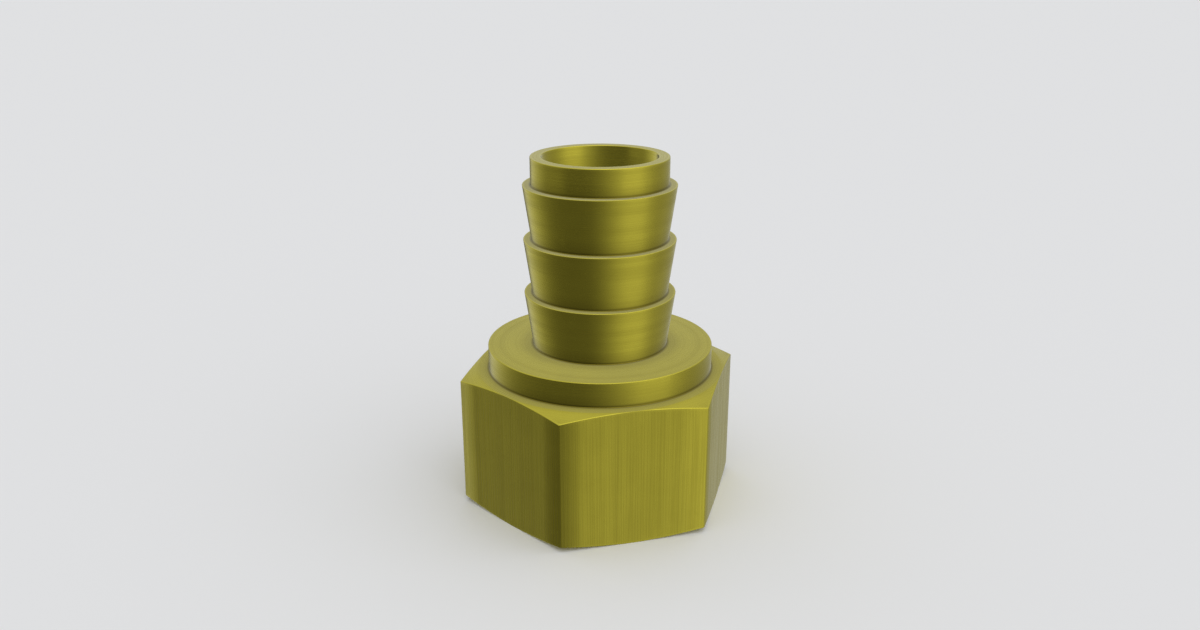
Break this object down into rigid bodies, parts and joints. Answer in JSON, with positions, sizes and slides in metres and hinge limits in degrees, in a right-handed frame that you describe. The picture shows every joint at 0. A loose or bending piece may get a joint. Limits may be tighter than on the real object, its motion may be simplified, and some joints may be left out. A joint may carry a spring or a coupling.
{
  "type": "hose thread adapter",
  "caption": "Brass fitting that joins a flexible hose to a threaded pipe end: a chamfered hexagon with a threaded socket, a round collar and a barbed hose tail.",
  "frame": {"origin": "centre of the hexagon's open end face, on which the adapter stands", "axes": "+Z along the bore from the open end of the hexagon to the tip of the hose tail; +Y out of one flat of the hexagon; +X out of one of its corners"},
  "size_m": [0.0382, 0.033, 0.0465],
  "materials": {
    "turned_brass": "bright turned brass, olive yellow, with fine turning lines"
  },
  "bodies": {
    "root": {"adapter_body": "turned_brass"}
  },
  "joints": []
}
